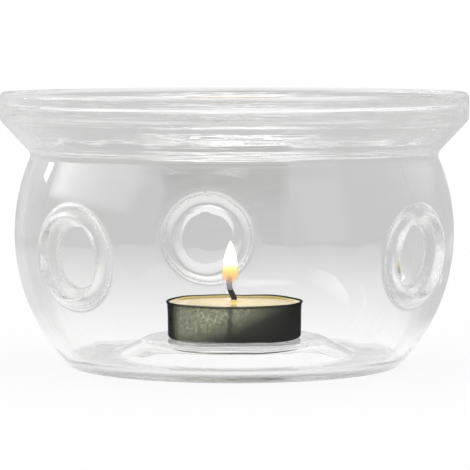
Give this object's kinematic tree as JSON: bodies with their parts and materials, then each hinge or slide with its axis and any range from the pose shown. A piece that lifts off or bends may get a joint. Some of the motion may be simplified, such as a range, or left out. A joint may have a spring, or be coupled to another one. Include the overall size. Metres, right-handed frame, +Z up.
{
  "type": "glass teapot warmer",
  "caption": "Round clear glass teapot warmer with a flared collar, side air vents and a pushed-up floor, holding a lit tealight in a foil cup.",
  "frame": {"origin": "on the table, at the bowl's axis", "axes": "+Z up along the bowl's axis, -Y towards the front as pictured, +X to the right"},
  "size_m": [0.1298, 0.1298, 0.076],
  "materials": {
    "clear_glass": "clear, fire polished",
    "foil": "satin drawn foil",
    "solid_wax": "waxy",
    "melted_wax": "wet, glossy",
    "wick_braid": "charred braid",
    "tinplate": "pressed sheet"
  },
  "bodies": {
    "warmer": {"glass_body": "clear_glass"},
    "tealight": {"tealight_cup": "foil"},
    "wax": {"wax_slug": "solid_wax", "wax_pool": "melted_wax", "wick": "wick_braid", "wick_sustainer": "tinplate"}
  },
  "joints": [
    {"name": "tealight_lift", "type": "slide", "parent": "warmer", "child": "tealight", "axis": [0, 0, 1], "range_m": [0, 0.08]},
    {"name": "wax_lift", "type": "slide", "parent": "tealight", "child": "wax", "axis": [0, 0, 1], "range_m": [0, 0.02]}
  ]
}
